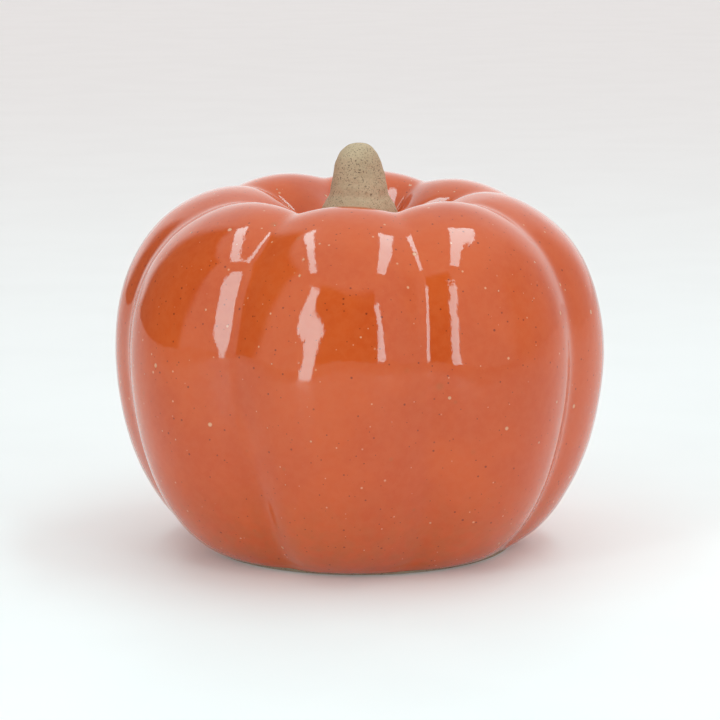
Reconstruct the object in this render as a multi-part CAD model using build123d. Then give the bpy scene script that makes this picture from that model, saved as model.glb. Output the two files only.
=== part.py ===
from build123d import *
import math
import os

# A hollow stoneware pumpkin figure with eight lobes, an orange glaze and a bare clay stem.
# Millimetres and degrees. +Z is up, the floor is z = 0 and the pumpkin's axis is the Z axis.
# An azimuth of 0 faces the front (-Y) and grows towards +X.

# ---- driving dimensions ----
glaze_thickness = 0.5
wall_thickness = 4.5
vent_radius = 5.0
foot_radius = 44.0
foot_flat_radius = 41.5
foot_bevel_height = 0.4
foot_disc_height = 2.5
swell_fade_height = 15.0
shoulder_start_height = 50.0
stem_foot_radius = 12.2
stem_bottom = 86.0
stem_top = 115.2

# Poles (radius, height) of the cubic B-spline that a lobe's crest follows, foot to stem seat.
crest_poles = [
    (40.7, 0.0),
    (47.2, 0.6),
    (58.8, 9.8),
    (69.1, 33.2),
    (72.1, 66.6),
    (62.3, 91.7),
    (43.0, 104.1),
    (28.0, 103.6),
    (18.9, 96.1),
    (7.8, 90.0),
]

# Poles of the depth of the furrows below the crests, foot to stem seat.
furrow_depth_poles = [0.0, 3.3, 5.6, 3.8, 2.0, 2.4, 5.2]
furrow_softness_at_foot = 0.18
furrow_softness_at_stem = 0.30
foot_blend = 0.06
seat_blend = 0.06

# One row for each lobe, going round: azimuth of the furrow before it, how far that furrow
# swings aside at the foot, how far the lobe swells out, how much higher its shoulder is, and
# how steep its flanks are at the waist, before and after its crest (1 is the usual depth).
lobes = [
    (-77.0, 0.0, 0.2, -2.4, 1.0, 1.8),
    (-27.2, 1.2, 1.3, -1.8, 0.95, 1.6),
    (18.2, 0.0, 0.1, -1.4, 0.85, 1.0),
    (62.0, 0.0, -0.5, -1.3, 1.0, 1.0),
    (107.0, 0.0, -0.3, -0.6, 1.0, 1.3),
    (152.0, 0.0, 0.1, 0.1, 1.3, 1.2),
    (195.0, 0.0, -0.2, 0.1, 1.2, 1.3),
    (239.0, 0.0, 0.4, -1.3, 1.3, 1.0),
]
waist_height = 65.0
waist_reach = 28.0
foot_swing_height = 40.0

# Half outline (radius, height) of the stem, from its flared foot to the round top.
stem_outline = [
    (stem_foot_radius, 94.3),
    (11.1, 95.9),
    (10.4, 97.3),
    (9.5, 98.9),
    (8.6, 100.7),
    (8.1, 103.4),
    (7.2, 107.4),
    (6.4, 110.3),
    (5.1, 112.8),
    (2.9, 114.7),
    (0, stem_top),
]

ring_count = 32
ring_steps = [0.0, 0.07, 0.15, 0.26, 0.38, 0.5, 0.62, 0.74, 0.85, 0.93]


def bspline(poles, t):
    """Point of the clamped uniform cubic B-spline of the poles, for t from 0 to 1."""
    degree = 3
    spans = len(poles) - degree
    knots = [0.0] * degree + [i / spans for i in range(spans + 1)] + [1.0] * degree
    span = min(int(t * spans), spans - 1)
    points = [Vector(pole) for pole in poles[span : span + degree + 1]]
    for level in range(1, degree + 1):
        for i in range(degree, level - 1, -1):
            low = knots[span + i]
            high = knots[span + i + degree + 1 - level]
            share = (t - low) / (high - low)
            points[i] = points[i - 1] * (1 - share) + points[i] * share
    return points[degree]


def crest_point(t):
    """Crest curve at t: its radius, its height and its outward normal in the same plane."""
    point = bspline(crest_poles, t)
    ahead = bspline(crest_poles, min(t + 0.001, 1.0))
    behind = bspline(crest_poles, max(t - 0.001, 0.0))
    along = (ahead - behind).normalized()
    return point.X, point.Y, along.Y, -along.X


def lobe_edges(index, height):
    """Azimuths of the furrows on both sides of a lobe, at a height."""
    low = min(max(1 - height / foot_swing_height, 0.0), 1.0) ** 2
    first = lobes[index][0] + lobes[index][1] * low
    after = lobes[(index + 1) % len(lobes)]
    turn = 360.0 if index == len(lobes) - 1 else 0.0
    return first, after[0] + after[1] * low + turn


def lobed_offset(azimuth, t, height):
    """Distance of the lobed surface from the crest curve's surface, along its normal."""
    depth = bspline([(pole, 0.0) for pole in furrow_depth_poles], t).X
    softness = furrow_softness_at_foot + (furrow_softness_at_stem - furrow_softness_at_foot) * t
    rounding = max(softness * depth, 0.01)
    swell_share = min(height / swell_fade_height, 1.0)
    shoulder_share = max(height / shoulder_start_height - 1, 0.0) ** 2
    waist_share = math.exp(-(((height - waist_height) / waist_reach) ** 2))
    levels = []
    for index, (_, _, swell, shoulder, before, after) in enumerate(lobes):
        first, second = lobe_edges(index, height)
        half_width = (second - first) / 2
        away = (azimuth - first - half_width + 180) % 360 - 180
        steepness = 1 + ((before if away < 0 else after) - 1) * waist_share
        crest = swell * swell_share + shoulder * shoulder_share
        levels.append(crest - depth * steepness * (away / half_width) ** 2)
    highest = max(levels)
    blend = rounding * math.log(sum(math.exp((v - highest) / rounding) for v in levels))
    window = min(t / foot_blend, (1 - t) / seat_blend, 1.0)
    return (highest + blend) * window


def ring(t, inset):
    """Closed curve round the pumpkin at t along the crest, inset from the glazed surface."""
    radius, height, out, up = crest_point(t)
    points = []
    places = []
    for index in range(len(lobes)):
        first, second = lobe_edges(index, height)
        for step in ring_steps:
            azimuth = first + (second - first) * step
            offset = lobed_offset(azimuth, t, height) - inset
            reach = radius + out * offset
            angle = math.radians(azimuth)
            points.append((reach * math.sin(angle), -reach * math.cos(angle), height + up * offset))
            places.append(index + step)
    places.append(float(len(lobes)))
    return Wire([Edge.make_spline(points, periodic=True, parameters=places)])


def pumpkin_solid(inset):
    """Closed lobed solid whose skin lies at the inset below the glazed surface."""
    return Solid.make_loft([ring(i / ring_count, inset) for i in range(ring_count + 1)])


def upright_cylinder(radius, bottom, top):
    """Cylinder on the pumpkin's axis between two heights."""
    return Pos(0, 0, (bottom + top) / 2) * Cylinder(radius, top - bottom)


def make_foot_disc():
    """Flat round foot with a bevelled lower edge."""
    outline = Polyline(
        (0, 0),
        (foot_flat_radius, 0),
        (foot_radius, foot_bevel_height),
        (foot_radius, foot_disc_height),
        (0, foot_disc_height),
        close=True,
    )
    return revolve(Plane.XZ * make_face(outline), Axis.Z)


def make_body_shell(under_glaze):
    """Hollow stoneware body: eight lobes, flat bare foot and a vent hole in the base."""
    cavity = pumpkin_solid(glaze_thickness + wall_thickness)
    vent = upright_cylinder(vent_radius, -1, 2 * wall_thickness)
    return (under_glaze + make_foot_disc()) - cavity - vent


def make_glaze_coat(coat):
    """Glaze over the whole outside, wiped clean under the foot and ending at the stem."""
    wiped_foot = upright_cylinder(foot_radius, -1, 2 * foot_disc_height)
    stem_seat = upright_cylinder(stem_foot_radius, stem_bottom, stem_top)
    return coat - wiped_foot - stem_seat


def make_stem_luting_slip(outside, under_glaze):
    """Thin bed of fired slip that joins the stem to its seat in the hollow between the lobes."""
    seat = upright_cylinder(stem_foot_radius, stem_bottom, stem_top) - under_glaze
    return seat & outside


def make_stem(outside):
    """Solid bare stem: a flared foot shaped to the seat, and a rounded top."""
    flank = Spline(stem_outline, tangents=[(-0.5, 1), (-1, 0)])
    outline = flank + Polyline(
        stem_outline[-1], (0, stem_bottom), (stem_foot_radius, stem_bottom), stem_outline[0]
    )
    profile = Plane.XZ * make_face(outline)
    return revolve(profile, Axis.Z) - outside


def main():
    os.makedirs("parts", exist_ok=True)
    outside = pumpkin_solid(0.0)
    under_glaze = pumpkin_solid(glaze_thickness)
    coat = outside - under_glaze
    nodes = {
        "body_shell": make_body_shell(under_glaze),
        "glaze_coat": make_glaze_coat(coat),
        "stem_luting_slip": make_stem_luting_slip(outside, under_glaze),
        "stem": make_stem(outside),
    }
    for name, shape in nodes.items():
        export_step(shape, f"parts/{name}.step")


main()
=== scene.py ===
import math

import bpy
import numpy as np
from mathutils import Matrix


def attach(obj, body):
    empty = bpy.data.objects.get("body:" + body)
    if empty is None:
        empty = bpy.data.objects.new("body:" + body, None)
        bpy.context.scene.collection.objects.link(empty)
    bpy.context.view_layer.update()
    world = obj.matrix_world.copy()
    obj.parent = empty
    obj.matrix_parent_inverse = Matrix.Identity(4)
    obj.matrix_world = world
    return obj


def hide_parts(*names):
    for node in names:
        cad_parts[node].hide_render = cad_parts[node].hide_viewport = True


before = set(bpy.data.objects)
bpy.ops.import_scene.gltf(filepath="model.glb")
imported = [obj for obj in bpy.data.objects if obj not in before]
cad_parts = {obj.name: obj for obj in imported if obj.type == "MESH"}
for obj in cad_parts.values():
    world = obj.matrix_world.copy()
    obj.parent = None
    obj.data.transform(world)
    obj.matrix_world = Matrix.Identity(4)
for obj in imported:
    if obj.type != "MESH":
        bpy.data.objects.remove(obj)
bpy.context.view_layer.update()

# A glazed stoneware pumpkin with eight lobes and a bare stem, on a pale floor under soft studio
# light. The pumpkin's form is worked out in millimetres, and meshes and lights are in metres.
# An azimuth of 0 faces the front (-Y) and grows towards +X, in degrees.

MM = 0.001

# ---- the pumpkin's driving dimensions, in millimetres and degrees ----
GLAZE_THICKNESS = 0.5
WALL_THICKNESS = 4.5
VENT_RADIUS = 5.0
FOOT_RADIUS = 44.0
FOOT_FLAT_RADIUS = 41.5
FOOT_BEVEL_HEIGHT = 0.4
SWELL_FADE_HEIGHT = 15.0
SHOULDER_START_HEIGHT = 50.0
STEM_FOOT_RADIUS = 12.2
STEM_FOOT_HEIGHT = 94.3
STEM_BLEND_HEIGHT = 97.5

# Poles (radius, height) of a lobe's crest, and poles of the furrows' depth below it. These two
# and most values of the lobes are rounded from least-squares fits, made by another program, to
# the pumpkin's outlines and highlights.
CREST_POLES = [
    (40.7, 0.0),
    (47.2, 0.6),
    (58.8, 9.8),
    (69.1, 33.2),
    (72.1, 66.6),
    (62.3, 91.7),
    (43.0, 104.1),
    (28.0, 103.6),
    (18.9, 96.1),
    (7.8, 90.0),
]
FURROW_DEPTH_POLES = [0.0, 3.3, 5.6, 3.8, 2.0, 2.4, 5.2]
FURROW_SOFTNESS = (0.18, 0.30)
END_BLEND = 0.06
# Furrow azimuth, its swing at the foot, the lobe's swell, its raised shoulder, and how steep its
# flanks are at the waist, before and after its crest.
LOBES = [
    (-77.0, 0.0, 0.2, -2.4, 1.0, 1.8),
    (-27.2, 1.2, 0.1, -1.8, 0.95, 1.6),
    (18.2, 0.0, 0.0, -1.4, 0.85, 1.0),
    (62.0, 0.0, -0.5, -1.3, 1.0, 1.0),
    (107.0, 0.0, -0.3, -0.6, 1.0, 1.3),
    (152.0, 0.0, 0.1, 0.1, 1.3, 1.2),
    (195.0, 0.0, -0.2, 0.1, 1.2, 1.3),
    (239.0, 0.0, 0.4, -1.3, 1.3, 1.0),
]
WAIST_HEIGHT = 65.0
WAIST_REACH = 28.0
FOOT_SWING_HEIGHT = 40.0
# Soft dents and rises in the front, such as casting and glazing leave: azimuth and height of the
# middle, reach round and up in degrees and millimetres, and rise (negative for a dent). The first
# two, the groove low on the left, were chosen one by one. The other sixteen are the output of a
# fit, made by another program, that bends the highlights as they should be. They aren't measured.
UNEVENNESS = [
    (-26.5, 18.0, 5.0, 16.0, -1.3),
    (-18.0, 16.0, 6.0, 14.0, 0.7),
    (-37.8, 52.2, 7.2, 9.6, -0.41),
    (-39.9, 60.1, 6.7, 10.9, -0.30),
    (-39.2, 87.6, 8.0, 5.8, 0.34),
    (-29.5, 64.0, 6.5, 3.9, 0.49),
    (-32.6, 83.8, 7.5, 7.7, -0.55),
    (-18.3, 67.5, 6.4, 9.6, -0.33),
    (-10.5, 73.9, 3.3, 3.8, -0.26),
    (-3.4, 67.1, 5.6, 6.4, 0.40),
    (-11.8, 97.5, 6.2, 2.8, -0.27),
    (4.3, 61.9, 9.2, 11.1, 0.55),
    (4.8, 73.9, 9.5, 7.5, 0.61),
    (12.9, 61.8, 5.7, 12.6, 0.59),
    (21.3, 82.9, 7.4, 5.3, -0.45),
    (27.6, 66.7, 5.2, 14.0, -0.53),
    (32.3, 85.3, 5.2, 13.8, -0.48),
    (43.8, 86.0, 6.8, 9.6, 0.09),
]
STEM_OUTLINE = [
    (STEM_FOOT_RADIUS, STEM_FOOT_HEIGHT),
    (11.1, 95.9),
    (10.4, 97.3),
    (9.5, 98.9),
    (8.6, 100.7),
    (8.1, 103.4),
    (7.2, 107.4),
    (6.4, 110.3),
    (5.1, 112.8),
    (2.9, 114.7),
    (0.0, 115.2),
]

# The glaze's slow ripple starts beyond this azimuth on both sides, and grows over the reach.
RIPPLE_START = 62.0
RIPPLE_REACH = 20.0
# The visible skins lie this far inside their nominal place, so that ripples don't stand proud.
GLAZE_SINKING = 0.12
STEM_SINKING = 0.1

# ---- mesh fineness: columns round the pumpkin and rows up its side ----
AROUND = 512
UP_THE_SIDE = 320


def turn_from(middle, azimuth):
    """Signed turn from a middle azimuth, from -180 to 180."""
    return (azimuth - middle + 180) % 360 - 180


def spread_azimuths():
    """Azimuths of the mesh columns, closer together along the furrows."""
    extra_columns = 2.5
    furrow_reach = 4.0
    fine = np.linspace(-180.0, 180.0, 7201)
    density = np.ones_like(fine)
    for furrow, *_ in LOBES:
        density += extra_columns * np.exp(-((turn_from(furrow, fine) / furrow_reach) ** 2))
    total = np.concatenate([[0.0], np.cumsum((density[1:] + density[:-1]) / 2)])
    return np.interp(np.arange(AROUND) / AROUND * total[-1], total, fine)


AZIMUTHS = spread_azimuths()


# ---- form of the pumpkin ----
def bspline(poles, t):
    """Values of the clamped uniform cubic B-spline of the poles, at every t from 0 to 1."""
    degree = 3
    poles = np.asarray(poles, float)
    spans = len(poles) - degree
    knots = np.concatenate([np.zeros(degree), np.linspace(0, 1, spans + 1), np.ones(degree)])
    span = np.minimum((t * spans).astype(int), spans - 1)
    points = [poles[span + i] for i in range(degree + 1)]
    for level in range(1, degree + 1):
        for i in range(degree, level - 1, -1):
            low = knots[span + i]
            high = knots[span + i + degree + 1 - level]
            share = (t - low) / (high - low)
            share = share.reshape(share.shape + (1,) * (poles.ndim - 1))
            points[i] = points[i - 1] * (1 - share) + points[i] * share
    return points[degree]


def crest(t):
    """Radius, height and outward normal (out, up) of the crest curve at t."""
    point = bspline(CREST_POLES, t)
    ahead = bspline(CREST_POLES, np.minimum(t + 0.001, 1.0))
    behind = bspline(CREST_POLES, np.maximum(t - 0.001, 0.0))
    along = ahead - behind
    along /= np.linalg.norm(along, axis=-1, keepdims=True)
    return point[..., 0], point[..., 1], along[..., 1], -along[..., 0]


def lobed_offset(azimuth, t, height):
    """Distance of the glazed surface from the crest curve's surface, along its normal."""
    depth = bspline(FURROW_DEPTH_POLES, t)
    softness = FURROW_SOFTNESS[0] + (FURROW_SOFTNESS[1] - FURROW_SOFTNESS[0]) * t
    rounding = np.maximum(softness * depth, 0.01)
    swell_share = np.minimum(height / SWELL_FADE_HEIGHT, 1.0)
    shoulder_share = np.maximum(height / SHOULDER_START_HEIGHT - 1, 0.0) ** 2
    low = np.clip(1 - height / FOOT_SWING_HEIGHT, 0.0, 1.0) ** 2
    waist_share = np.exp(-(((height - WAIST_HEIGHT) / WAIST_REACH) ** 2))
    levels = []
    for index, (start, swing, swell, shoulder, before, after) in enumerate(LOBES):
        following = LOBES[(index + 1) % len(LOBES)]
        turn = 360.0 if index == len(LOBES) - 1 else 0.0
        first = start + swing * low
        half_width = (following[0] + following[1] * low + turn - first) / 2
        away = turn_from(first + half_width, azimuth)
        top = swell * swell_share + shoulder * shoulder_share
        steepness = 1 + (np.where(away < 0, before, after) - 1) * waist_share
        levels.append(top - depth * steepness * (away / half_width) ** 2)
    levels = np.array(levels)
    highest = levels.max(axis=0)
    blend = rounding * np.log(np.exp((levels - highest) / rounding).sum(axis=0))
    window = np.minimum(np.minimum(t, 1 - t) / END_BLEND, 1.0)
    uneven = 0.0
    for middle, level, reach, height_reach, rise in UNEVENNESS:
        aside = turn_from(middle, azimuth) / reach
        above = (height - level) / height_reach
        uneven = uneven + rise * np.exp(-(aside**2) - above**2)
    return (highest + blend + uneven) * window


def skin(t, azimuth, inset):
    """Radius and height of the surface at the inset below the glaze's outer face."""
    radius, height, out, up = crest(t)
    offset = lobed_offset(azimuth, t, height) - inset
    return radius + out * offset, height + up * offset


def t_at_radius(wanted, inset, near_stem):
    """For every azimuth, the t where the surface crosses a radius, by the foot or by the stem."""
    t = np.linspace(0.75, 1.0, 400) if near_stem else np.linspace(0.0, 0.25, 400)
    grid, azimuth = np.meshgrid(t, AZIMUTHS, indexing="ij")
    radius, _ = skin(grid, azimuth, inset)
    found = []
    for column in radius.T:
        if near_stem:
            found.append(np.interp(wanted, column[::-1], t[::-1]))
        else:
            found.append(np.interp(wanted, column, t))
    return np.array(found)


def skin_rings(start, end, count, inset):
    """Rings (radius, height) of the surface from start to end, which may vary round it."""
    share = np.linspace(0, 1, count)[:, None]
    t = np.clip(start + (end - start) * share, 0.0, 1.0)
    return skin(t, np.broadcast_to(AZIMUTHS, t.shape), inset)


def round_rings(outline):
    """Rings (radius, height) of plain circles through an outline's points."""
    outline = np.asarray(outline, float)
    ones = np.ones(AROUND)
    return outline[:, 0:1] * ones, outline[:, 1:2] * ones


def ripple(points, wavelength, size, seed):
    """Smooth random height, in millimetres, from plane waves of about one wavelength."""
    rng = np.random.default_rng(seed)
    total = np.zeros(points.shape[:-1])
    waves = 14
    for _ in range(waves):
        way = rng.normal(size=3)
        way *= 2 * math.pi / (np.linalg.norm(way) * wavelength * rng.uniform(0.7, 1.4))
        total += np.sin(points @ way + rng.uniform(0, 2 * math.pi))
    return total * size * math.sqrt(2 / waves)


# ---- meshes ----
def ring_points(radius, height):
    """Points in millimetres of rings given by radius and height."""
    angle = np.radians(AZIMUTHS)
    return np.stack([radius * np.sin(angle), -radius * np.cos(angle), height], axis=-1)


def mesh_from_rings(name, rings, closed_tube):
    """Mesh through rings of points. Ends are capped, or the last ring joins the first."""
    count = len(rings)
    verts = (rings.reshape(-1, 3) * MM).tolist()
    faces = []
    steps = count if closed_tube else count - 1
    for row in range(steps):
        below = row * AROUND
        above = ((row + 1) % count) * AROUND
        for i in range(AROUND):
            j = (i + 1) % AROUND
            faces.append((below + i, below + j, above + j, above + i))
    if not closed_tube:
        first = len(verts)
        verts.append((rings[0].mean(axis=0) * MM).tolist())
        verts.append((rings[-1].mean(axis=0) * MM).tolist())
        top = (count - 1) * AROUND
        for i in range(AROUND):
            j = (i + 1) % AROUND
            faces.append((j, i, first))
            faces.append((top + i, top + j, first + 1))
    mesh = bpy.data.meshes.new(name)
    mesh.from_pydata(verts, [], faces)
    mesh.validate()
    mesh.shade_smooth()
    piece = bpy.data.objects.new(name, mesh)
    bpy.context.scene.collection.objects.link(piece)
    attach(piece, "root")
    return piece


def face_outward(piece):
    """Turns all faces of a closed mesh outward."""
    bpy.context.view_layer.objects.active = piece
    piece.select_set(True)
    bpy.ops.object.mode_set(mode="EDIT")
    bpy.ops.mesh.select_all(action="SELECT")
    bpy.ops.mesh.normals_make_consistent(inside=False)
    bpy.ops.object.mode_set(mode="OBJECT")
    piece.select_set(False)


def make_glaze():
    """Glaze coat: the outer face with its slight waviness, rolled edges and the inner face."""
    foot_t = t_at_radius(FOOT_RADIUS, 0.0, False)
    stem_t = t_at_radius(STEM_FOOT_RADIUS, 0.0, True)
    foot_in_t = t_at_radius(FOOT_RADIUS, GLAZE_THICKNESS, False)
    stem_in_t = t_at_radius(STEM_FOOT_RADIUS, GLAZE_THICKNESS, True)
    outer = ring_points(*skin_rings(foot_t, stem_t, UP_THE_SIDE, 0.0))
    calm_rows = 12.0
    row = np.arange(UP_THE_SIDE)
    edge_share = np.minimum(np.minimum(row, row[::-1]) / calm_rows, 1.0)
    side = np.abs(turn_from(0.0, AZIMUTHS))
    back_share = np.clip((side - RIPPLE_START) / RIPPLE_REACH, 0, 1)
    slow = ripple(outer, wavelength=30.0, size=0.10, seed=3) * back_share
    fast = ripple(outer, wavelength=9.0, size=0.012, seed=5)
    across = np.roll(outer, -1, axis=1) - np.roll(outer, 1, axis=1)
    normals = np.cross(across, np.gradient(outer, axis=0))
    normals /= np.linalg.norm(normals, axis=-1, keepdims=True)
    rise = (slow + fast - GLAZE_SINKING) * edge_share[:, None]
    outer += normals * rise[..., None]
    inner = ring_points(*skin_rings(stem_in_t, foot_in_t, UP_THE_SIDE // 4, GLAZE_THICKNESS))
    piece = mesh_from_rings("orange_glaze_coat", np.concatenate([outer, inner]), True)
    face_outward(piece)
    bevel = piece.modifiers.new("rolled_edges", "BEVEL")
    bevel.width = 0.18 * MM
    bevel.segments = 3
    bevel.limit_method = "ANGLE"
    bevel.angle_limit = math.radians(50)
    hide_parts("glaze_coat")
    return piece


def make_body():
    """Bare body: the hollow inside, the vent, the flat foot and the face under the glaze."""
    lip = 0.5
    vent_margin = 8.0
    floor_top = GLAZE_THICKNESS + WALL_THICKNESS
    under_t = t_at_radius(FOOT_RADIUS, GLAZE_THICKNESS, False)
    hollow = skin_rings(1.0, np.zeros(AROUND), UP_THE_SIDE // 3, floor_top)
    vent = round_rings(
        [
            (VENT_RADIUS + vent_margin, floor_top),
            (VENT_RADIUS + lip, floor_top),
            (VENT_RADIUS + 0.3 * lip, floor_top - 0.3 * lip),
            (VENT_RADIUS, floor_top - lip),
            (VENT_RADIUS, lip),
            (VENT_RADIUS + 0.3 * lip, 0.3 * lip),
            (VENT_RADIUS + lip, 0.0),
        ]
    )
    flat = [(FOOT_FLAT_RADIUS * share, 0.0) for share in (0.35, 0.6, 0.85, 0.97)]
    soft_edge = [
        (FOOT_FLAT_RADIUS + 0.6, 0.04),
        (FOOT_FLAT_RADIUS + 1.6, FOOT_BEVEL_HEIGHT * 0.45),
        (FOOT_RADIUS - 0.15, FOOT_BEVEL_HEIGHT * 0.95),
        (FOOT_RADIUS, FOOT_BEVEL_HEIGHT + 0.2),
    ]
    foot = round_rings(flat + soft_edge)
    outside = skin_rings(under_t, np.ones(AROUND), UP_THE_SIDE // 2, GLAZE_THICKNESS)
    rings = np.concatenate([ring_points(*part) for part in (hollow, vent, foot, outside)])
    piece = mesh_from_rings("stoneware_body", rings, False)
    face_outward(piece)
    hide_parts("body_shell")
    return piece


def smooth_outline(points, steps):
    """Outline through the points, rounded between them (a Catmull-Rom curve)."""
    points = np.asarray(points, float)
    before = 2 * points[0] - points[1]
    after = points[-2] * (-1, 1)
    chain = np.vstack([before, points, after])
    curve = []
    for a, b, c, d in zip(chain, chain[1:], chain[2:], chain[3:]):
        for u in np.arange(steps) / steps:
            square = (2 * a - 5 * b + 4 * c - d) * u**2
            cube = (3 * b - a - 3 * c + d) * u**3
            curve.append((2 * b + (c - a) * u + square + cube) / 2)
    return np.array(curve)


def make_stem():
    """Bare stem: flared foot that follows its seat, slightly uneven sides and a round top."""
    lean = 0.25
    lean_start, lean_span = 93.0, 23.0
    calm_radius = 4.0
    radius, height = round_rings(smooth_outline(STEM_OUTLINE, 24))
    stem_t = t_at_radius(STEM_FOOT_RADIUS, 0.0, True)
    _, seat = skin(stem_t, AZIMUTHS, 0.0)
    rise = np.clip((STEM_BLEND_HEIGHT - height) / (STEM_BLEND_HEIGHT - STEM_FOOT_HEIGHT), 0, 1)
    height = height + (seat - STEM_FOOT_HEIGHT)[None, :] * rise**2
    points = ring_points(radius, height)
    uneven = ripple(points, wavelength=16.0, size=0.14, seed=21)
    uneven += ripple(points, wavelength=3.0, size=0.03, seed=22)
    uneven *= np.minimum(radius / calm_radius, 1.0) * (1 - rise)
    outward = ring_points(np.ones_like(radius), np.zeros_like(height))
    points += outward * (uneven - STEM_SINKING)[..., None]
    bend = np.clip((height - lean_start) / lean_span, 0, 1)
    points[..., 0] -= lean * np.sin(bend * math.pi)
    base = ring_points(*skin_rings(np.ones(AROUND), stem_t, 10, 0.0))
    piece = mesh_from_rings("bare_stem", np.concatenate([base[:-1], points]), False)
    face_outward(piece)
    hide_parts("stem")
    return piece


def make_slip():
    """Bed of fired slip under the stem, with the thin bead squeezed out round its foot."""
    bead_radius = 0.3
    tuck = 0.05
    clearance = 0.02
    near_axis = np.full(AROUND, 0.99)
    edge_t = t_at_radius(STEM_FOOT_RADIUS - 2 * tuck, 0.0, True)
    top = ring_points(*skin_rings(near_axis, edge_t, 8, clearance))
    bottom = ring_points(*skin_rings(edge_t, near_axis, 8, GLAZE_THICKNESS - clearance))
    size = bead_radius * (1 + 0.35 * ripple(top[-1], wavelength=5.0, size=1.0, seed=31))
    _, seat = skin(edge_t, AZIMUTHS, 0.0)
    bead = []
    for angle in np.linspace(math.radians(110), math.radians(-60), 9):
        reach = STEM_FOOT_RADIUS - tuck + size * math.cos(angle)
        level = seat - tuck + size * math.sin(angle)
        bead.append(ring_points(reach, level))
    rings = np.concatenate([top, np.array(bead), bottom])
    piece = mesh_from_rings("stem_slip_bead", rings, False)
    face_outward(piece)
    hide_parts("stem_luting_slip")
    return piece


# ---- materials ----
class Shader:
    """One material's node tree, with short calls for the nodes that the materials share."""

    def __init__(self, name):
        self.material = bpy.data.materials.new(name)
        self.material.use_nodes = True
        self.tree = self.material.node_tree
        self.surface = self.tree.nodes["Principled BSDF"]
        self.place = self.node("ShaderNodeTexCoord").outputs["Object"]

    def node(self, kind, **settings):
        """New node of a kind, with its settings."""
        made = self.tree.nodes.new(kind)
        for key, value in settings.items():
            setattr(made, key, value)
        return made

    def feed(self, socket, value):
        """Links a socket to another one, or sets it to a constant."""
        if isinstance(value, bpy.types.NodeSocket):
            self.tree.links.new(value, socket)
        else:
            socket.default_value = value

    def math(self, operation, *values):
        """Result of a calculation on numbers or sockets."""
        made = self.node("ShaderNodeMath", operation=operation)
        for socket, value in zip(made.inputs, values):
            self.feed(socket, value)
        return made.outputs[0]

    def remap(self, value, low, high, new_low, new_high):
        """Value moved smoothly from one range to another, and kept inside it."""
        made = self.node("ShaderNodeMapRange", interpolation_type="SMOOTHSTEP")
        for socket, item in zip(made.inputs, (value, low, high, new_low, new_high)):
            self.feed(socket, item)
        return made.outputs[0]

    def noise(self, size_mm, detail, roughness):
        """Smooth random value about 0.5, with features of about one size."""
        made = self.node("ShaderNodeTexNoise")
        self.feed(made.inputs["Vector"], self.place)
        made.inputs["Scale"].default_value = 1 / (size_mm * MM)
        made.inputs["Detail"].default_value = detail
        made.inputs["Roughness"].default_value = roughness
        return made.outputs["Fac"]

    def height(self):
        """Height above the floor, in metres."""
        split = self.node("ShaderNodeSeparateXYZ")
        self.feed(split.inputs[0], self.place)
        return split.outputs["Z"]

    def mix(self, share, first, second):
        """Colour between the first, at share 0, and the second, at share 1."""
        made = self.node("ShaderNodeMix", data_type="RGBA")
        self.feed(made.inputs["Factor"], share)
        self.feed(made.inputs["A"], first)
        self.feed(made.inputs["B"], second)
        return made.outputs["Result"]

    def tint(self, color, mask, strength, other):
        """Colour moved towards another one where the mask is high."""
        return self.mix(self.math("MULTIPLY", mask, strength), color, other)

    def specks(self, cell_mm, smallest_mm, largest_mm, share, shift, softness):
        """Mask of round specks strewn in space: 1 in a speck, 0 elsewhere.

        A share of the cells holds one speck each, with a radius between the smallest and the
        largest. Small ones are the most common.
        """
        moved = self.node("ShaderNodeVectorMath", operation="ADD")
        self.feed(moved.inputs[0], self.place)
        moved.inputs[1].default_value = (shift, shift * 1.7, shift * 0.6)
        cells = self.node("ShaderNodeTexVoronoi")
        self.feed(cells.inputs["Vector"], moved.outputs[0])
        cells.inputs["Scale"].default_value = 1 / (cell_mm * MM)
        parts = self.node("ShaderNodeSeparateColor")
        self.feed(parts.inputs[0], cells.outputs["Color"])
        spread = (largest_mm - smallest_mm) / cell_mm
        cube = self.math("POWER", parts.outputs[0], 3.0)
        reach = self.math("MULTIPLY_ADD", cube, spread, smallest_mm / cell_mm)
        near = self.math("MULTIPLY", reach, 1 - softness)
        inside = self.remap(cells.outputs["Distance"], near, reach, 1.0, 0.0)
        chosen = self.math("LESS_THAN", parts.outputs[1], share)
        return self.math("MULTIPLY", inside, chosen)

    def bump(self, height, distance_mm, under=None):
        """Normal of a surface raised by the height, on top of an earlier bump."""
        made = self.node("ShaderNodeBump")
        made.inputs["Distance"].default_value = distance_mm * MM
        self.feed(made.inputs["Height"], height)
        if under is not None:
            self.feed(made.inputs["Normal"], under)
        return made.outputs["Normal"]


# Specks: size of the cells that hold them, smallest and largest radius in millimetres, share of
# the cells with a speck, shift of the pattern, and softness of the edge.
BLOTCHES = (9.0, 0.8, 2.2, 0.6, 0.31, 0.8)
FLECKS = (3.0, 0.22, 0.55, 0.55, 0.53, 0.6)
IRON_HALOS = (2.0, 0.32, 0.7, 0.75, 0.12, 0.9)
IRON_SPOTS = (2.0, 0.18, 0.42, 0.75, 0.12, 0.5)
# Pinholes: real pits in the glaze, with a painted glint of cream colour in them.
PITS_AND_GLINTS = (5.0, 0.3, 0.85, 0.5, 0.87, 0.4)
RUST_SPOTS = (1.7, 0.25, 0.6, 0.6, 0.44, 0.7)
CHALK_SPOTS = (2.0, 0.08, 0.25, 0.4, 0.66, 0.5)

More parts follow.
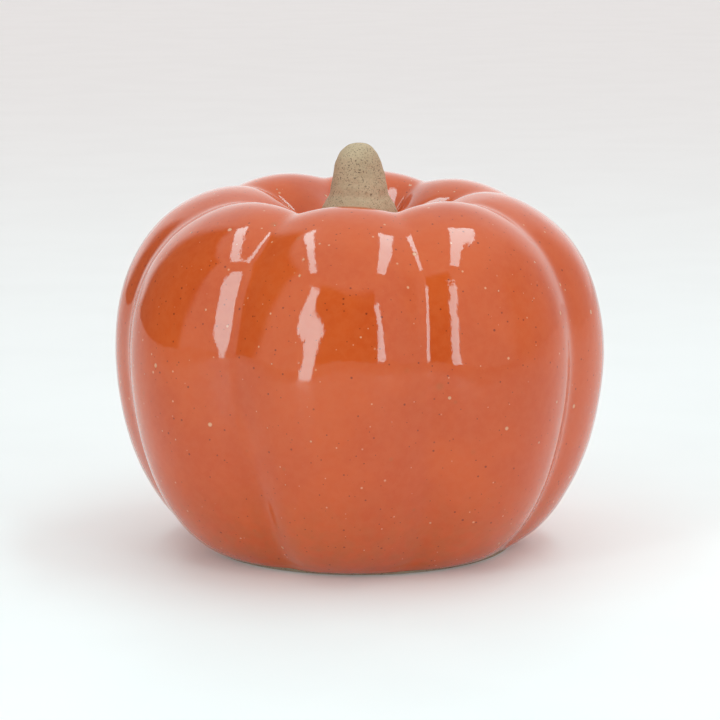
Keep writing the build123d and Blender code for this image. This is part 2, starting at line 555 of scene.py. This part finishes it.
# Base colours, linear RGB. Clays and the floor have a pale and a dark shade.
GLAZE_ORANGE = (0.66, 0.088, 0.013, 1)
GLAZE_DEEP = (0.55, 0.058, 0.008, 1)
GLAZE_PALE = (0.68, 0.125, 0.032, 1)
IRON_BROWN = (0.19, 0.022, 0.006, 1)
CREAM = (0.80, 0.42, 0.24, 1)
OLIVE = (0.34, 0.13, 0.035, 1)
RUST = (0.33, 0.17, 0.08, 1)
CLAY_DOT = (0.16, 0.095, 0.055, 1)
GRIT = (0.09, 0.055, 0.035, 1)
CHALK = (0.75, 0.66, 0.54, 1)
FOOT_CLAY = ((0.40, 0.30, 0.21, 1), (0.28, 0.20, 0.135, 1))
STEM_CLAY = ((0.66, 0.45, 0.29, 1), (0.42, 0.275, 0.165, 1))
SLIP_CLAY = ((0.45, 0.31, 0.2, 1), (0.33, 0.22, 0.14, 1))
FLOOR_PAINT = ((0.83, 0.78, 0.765, 1), (0.85, 0.80, 0.785, 1))


def glaze_material():
    """Glossy orange glaze with iron specks, cream flecks, pinholes with a painted glint and a faint
    ripple.
    """
    m = Shader("orange_speckled_glaze")
    cloud = m.remap(m.noise(26.0, 3.0, 0.55), 0.35, 0.65, 0.0, 1.0)
    mottle = m.remap(m.noise(2.2, 3.0, 0.6), 0.3, 0.7, 0.0, 1.0)
    color = m.tint(GLAZE_ORANGE, cloud, 0.5, GLAZE_DEEP)
    color = m.tint(color, mottle, 0.28, GLAZE_PALE)
    color = m.tint(color, m.specks(*BLOTCHES), 0.22, OLIVE)
    near_foot = m.remap(m.height(), 0.0, 35 * MM, 0.30, 0.0)
    pooled = m.remap(m.noise(4.0, 3.0, 0.6), 0.35, 0.65, 0.35, 1.0)
    color = m.mix(m.math("MULTIPLY", near_foot, pooled), color, OLIVE)
    color = m.tint(color, m.specks(*FLECKS), 0.65, CREAM)
    color = m.tint(color, m.specks(*IRON_HALOS), 0.35, GLAZE_DEEP)
    color = m.tint(color, m.specks(*IRON_SPOTS), 0.82, IRON_BROWN)
    pit_and_glint = m.specks(*PITS_AND_GLINTS)
    # The pinholes' cream colour is a painted glint, standing in for the light they catch. Their
    # pits in roughness and bump are real.
    color = m.tint(color, pit_and_glint, 0.7, CREAM)
    m.feed(m.surface.inputs["Base Color"], color)
    gloss = m.remap(m.noise(3.0, 4.0, 0.6), 0.3, 0.75, 0.035, 0.075)
    m.feed(m.surface.inputs["Roughness"], m.math("MULTIPLY_ADD", pit_and_glint, 0.2, gloss))
    m.surface.inputs["IOR"].default_value = 1.52
    peel = m.bump(m.noise(4.2, 3.0, 0.6), 0.038)
    m.feed(m.surface.inputs["Normal"], m.bump(m.math("SUBTRACT", 1.0, pit_and_glint), 0.12, peel))
    return m.material


def stoneware_material(name, clay, grit_cell_mm):
    """Unglazed fired clay: matte, grainy, with dense fine iron specks."""
    pale, dark = clay
    m = Shader(name)
    cloud = m.remap(m.noise(9.0, 3.0, 0.6), 0.3, 0.7, 0.0, 1.0)
    grain = m.remap(m.noise(0.5, 3.0, 0.7), 0.3, 0.7, 0.0, 1.0)
    color = m.tint(pale, cloud, 0.45, dark)
    color = m.tint(color, grain, 0.4, dark)
    color = m.tint(color, m.specks(*RUST_SPOTS), 0.4, RUST)
    dots = m.remap(m.noise(0.42, 1.0, 0.5), 0.60, 0.68, 0.0, 1.0)
    patches = m.remap(m.noise(6.0, 2.0, 0.5), 0.35, 0.6, 0.3, 1.0)
    color = m.mix(m.math("MULTIPLY", dots, patches), color, CLAY_DOT)
    color = m.tint(color, m.specks(grit_cell_mm, 0.13, 0.26, 0.7, 0.21, 0.5), 0.7, GRIT)
    color = m.tint(color, m.specks(*CHALK_SPOTS), 0.45, CHALK)
    m.feed(m.surface.inputs["Base Color"], color)
    m.feed(m.surface.inputs["Roughness"], m.remap(grain, 0.0, 1.0, 0.78, 0.95))
    m.surface.inputs["IOR"].default_value = 1.45
    fine = m.bump(grain, 0.05)
    m.feed(m.surface.inputs["Normal"], m.bump(m.noise(2.5, 3.0, 0.6), 0.12, fine))
    return m.material


def floor_material():
    """Pale matte floor with a little light of its own, so that its shadows stay soft."""
    m = Shader("pale_floor")
    shade = m.remap(m.noise(60.0, 2.0, 0.5), 0.3, 0.7, 0.0, 1.0)
    m.feed(m.surface.inputs["Base Color"], m.mix(shade, *FLOOR_PAINT))
    m.surface.inputs["Roughness"].default_value = 0.6
    m.surface.inputs["IOR"].default_value = 1.6
    m.surface.inputs["Emission Color"].default_value = (1, 1, 1, 1)
    m.surface.inputs["Emission Strength"].default_value = 0.12
    return m.material


# ---- studio ----
# Metres and degrees. The camera looks at the pumpkin's axis at the middle height.
MIDDLE_HEIGHT = 0.0507
STRIP_DISTANCE = 0.60
CEILING_HEIGHT = 0.985
LAMP_RADIANCE = 6.4
LAMP_COLOR = (0.56, 0.95, 1.0)

# Gaps in the light tent's pale walls: first and last azimuth, soft edge and top.
FRONT_GAP = (-37.0, 33.0, 4.0, 54.0)
LEFT_GAP = (-152.0, -66.0, 12.0, 58.0)
GAP_DARKNESS = 0.87
WALL_BRIGHTNESS = 0.97
BACK_WALL_GAIN = 0.18
RIGHT_WALL_LOSS = 0.40


def make_floor():
    """Wide flat floor that the camera and the glaze see, but that isn't part of the pumpkin."""
    size = 8.0
    mesh = bpy.data.meshes.new("floor")
    mesh.from_pydata(
        [(-size, -size, 0), (size, -size, 0), (size, size, 0), (-size, size, 0)], [], [(0, 1, 2, 3)]
    )
    floor = bpy.data.objects.new("floor", mesh)
    bpy.context.scene.collection.objects.link(floor)
    floor.data.materials.append(floor_material())


def add_panel(name, centre, turn, width, height):
    """Rectangular soft light. Its power follows from the radiance and the size."""
    light = bpy.data.lights.new(name, "AREA")
    light.shape = "RECTANGLE"
    light.size = width
    light.size_y = height
    light.energy = LAMP_RADIANCE * math.pi * width * height
    light.color = LAMP_COLOR
    lamp = bpy.data.objects.new(name, light)
    lamp.location = centre
    lamp.rotation_euler = turn
    lamp.visible_camera = False
    bpy.context.scene.collection.objects.link(lamp)


def add_strip(name, azimuth, low, high, width):
    """Upright strip softbox that faces the pumpkin, between two heights."""
    angle = math.radians(azimuth)
    x, y = STRIP_DISTANCE * math.sin(angle), -STRIP_DISTANCE * math.cos(angle)
    add_panel(name, (x, y, (low + high) / 2), (math.pi / 2, 0, angle), width, high - low)


def add_ceiling_strip(name, x, y, turn, width, length):
    """Strip softbox that faces straight down, turned about the vertical."""
    add_panel(name, (x, y, CEILING_HEIGHT), (0, 0, math.radians(turn)), width, length)


def make_lights():
    """Two upright strips and two ceiling strips, with places and sizes from the same fit."""
    add_strip("left_strip", azimuth=-36.6, low=0.002, high=0.680, width=0.090)
    add_strip("right_strip", azimuth=29.4, low=0.060, high=0.623, width=0.071)
    add_ceiling_strip("left_ceiling_strip", -0.388, 0.015, -10.7, 0.087, 0.82)
    add_ceiling_strip("right_ceiling_strip", 0.385, -0.050, 9.3, 0.160, 0.78)


def make_world():
    """Light tent: pale walls and ceiling, with dark gaps at the front and on the left.

    Its back wall is a little brighter and its right wall darker. Seen directly, it is white.
    """
    world = bpy.data.worlds.new("light_tent")
    bpy.context.scene.world = world
    world.use_nodes = True
    tree = world.node_tree
    link = tree.links.new

    def calc(operation, *values):
        node = tree.nodes.new("ShaderNodeMath")
        node.operation = operation
        for socket, value in zip(node.inputs, values):
            if isinstance(value, bpy.types.NodeSocket):
                link(value, socket)
            else:
                socket.default_value = value
        return node.outputs[0]

    def step(value, low, high):
        node = tree.nodes.new("ShaderNodeMapRange")
        node.interpolation_type = "SMOOTHSTEP"
        link(value, node.inputs[0])
        node.inputs[1].default_value = low
        node.inputs[2].default_value = high
        return node.outputs[0]

    way = tree.nodes.new("ShaderNodeSeparateXYZ")
    link(tree.nodes.new("ShaderNodeTexCoord").outputs["Generated"], way.inputs[0])
    x, y, z = way.outputs
    azimuth = calc("MULTIPLY", calc("ARCTAN2", x, calc("MULTIPLY", y, -1.0)), 180 / math.pi)
    elevation = calc("MULTIPLY", calc("ARCSINE", z), 180 / math.pi)

    def below(value, low, high):
        return calc("SUBTRACT", 1.0, step(value, low, high))

    def gap(start, end, soft, top):
        past_start = step(azimuth, start, start + soft)
        inside = calc("MULTIPLY", past_start, below(azimuth, end - soft, end))
        return calc("MULTIPLY", inside, below(elevation, top - 6, top))

    dark = calc("MINIMUM", calc("ADD", gap(*FRONT_GAP), gap(*LEFT_GAP)), 1.0)
    sideways = calc("ABSOLUTE", azimuth)
    back = calc("MULTIPLY", step(sideways, 140.0, 170.0), below(elevation, 15.0, 40.0))
    right = calc("MULTIPLY", step(azimuth, 55.0, 80.0), below(azimuth, 125.0, 150.0))
    right = calc("MULTIPLY", right, below(elevation, 30.0, 55.0))
    pale = calc("MULTIPLY_ADD", back, BACK_WALL_GAIN, WALL_BRIGHTNESS)
    pale = calc("MULTIPLY_ADD", right, -RIGHT_WALL_LOSS, pale)
    tent = calc("MULTIPLY", pale, calc("MULTIPLY_ADD", dark, -GAP_DARKNESS, 1.0))
    seen = tree.nodes.new("ShaderNodeLightPath").outputs["Is Camera Ray"]
    background = tree.nodes["Background"]
    background.inputs["Color"].default_value = (1, 1, 1, 1)
    link(calc("MAXIMUM", tent, seen), background.inputs["Strength"])


def make_camera():
    """Long lens from the front, 10 degrees above the middle, at a distance that was fitted too."""
    elevation = math.radians(10.0)
    distance = 0.841
    camera = bpy.data.cameras.new("camera")
    camera.lens = 146.6
    camera.sensor_width = 36.0
    camera.shift_x = 0.0008
    camera.shift_y = 0.0100
    camera.clip_start = 0.01
    camera.clip_end = 30.0
    view = bpy.data.objects.new("camera", camera)
    view.location = (
        0.0,
        -distance * math.cos(elevation),
        MIDDLE_HEIGHT + distance * math.sin(elevation),
    )
    view.rotation_euler = (math.pi / 2 - elevation, 0, 0)
    bpy.context.scene.collection.objects.link(view)
    bpy.context.scene.camera = view


def main():
    make_glaze().data.materials.append(glaze_material())
    make_body().data.materials.append(stoneware_material("bare_body_clay", FOOT_CLAY, 1.5))
    make_stem().data.materials.append(stoneware_material("bare_stem_clay", STEM_CLAY, 0.9))
    make_slip().data.materials.append(stoneware_material("fired_slip", SLIP_CLAY, 1.8))
    make_floor()
    make_lights()
    make_world()
    make_camera()
    bpy.context.scene.view_settings.view_transform = "Standard"
    bpy.context.scene.view_settings.look = "None"


main()
